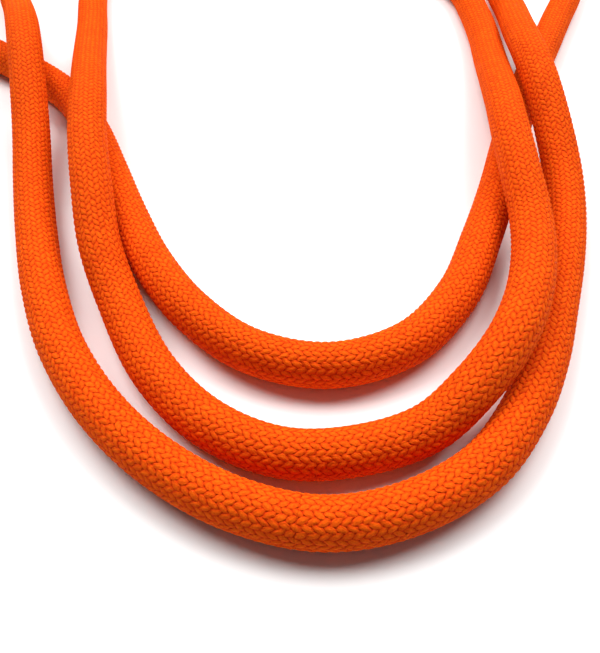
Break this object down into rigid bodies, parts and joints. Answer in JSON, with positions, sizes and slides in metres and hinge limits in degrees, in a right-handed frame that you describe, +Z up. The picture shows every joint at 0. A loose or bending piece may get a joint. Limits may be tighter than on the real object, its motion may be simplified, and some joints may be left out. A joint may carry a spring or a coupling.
{
  "type": "dynamic climbing rope",
  "caption": "Orange braided kernmantle climbing rope laid in nested bights, the rest in a neat strapped coil, with sleeved ends.",
  "frame": {"origin": "middle of the footprint, on the surface that the rope lies on", "axes": "+Z up; +Y away from the viewer, from the bights of the picture towards the coil"},
  "size_m": [0.2464, 0.4994, 0.0429],
  "materials": {
    "braid": "plain orange braid, slightly fuzzy",
    "core_yarn": "white twisted nylon",
    "thread_yarn": "blue marker thread",
    "sleeve_plastic": "black shrunk sleeve",
    "fused_nylon": "fused rope end, dark orange",
    "strap_webbing": "black hook-and-loop webbing"
  },
  "bodies": {
    "root": {"sheath": "braid", "core_strand_01": "core_yarn", "core_strand_02": "core_yarn", "core_strand_03": "core_yarn", "core_strand_04": "core_yarn", "core_strand_05": "core_yarn", "core_strand_06": "core_yarn", "core_strand_07": "core_yarn", "core_strand_08": "core_yarn", "core_strand_09": "core_yarn", "core_strand_10": "core_yarn", "core_strand_11": "core_yarn", "marker_thread": "thread_yarn", "rope_coil": "braid", "coil_strap_front": "strap_webbing", "coil_strap_back": "strap_webbing", "end_sleeve_1": "sleeve_plastic", "end_sleeve_2": "sleeve_plastic", "end_tip_1": "fused_nylon", "end_tip_2": "fused_nylon"}
  },
  "joints": []
}
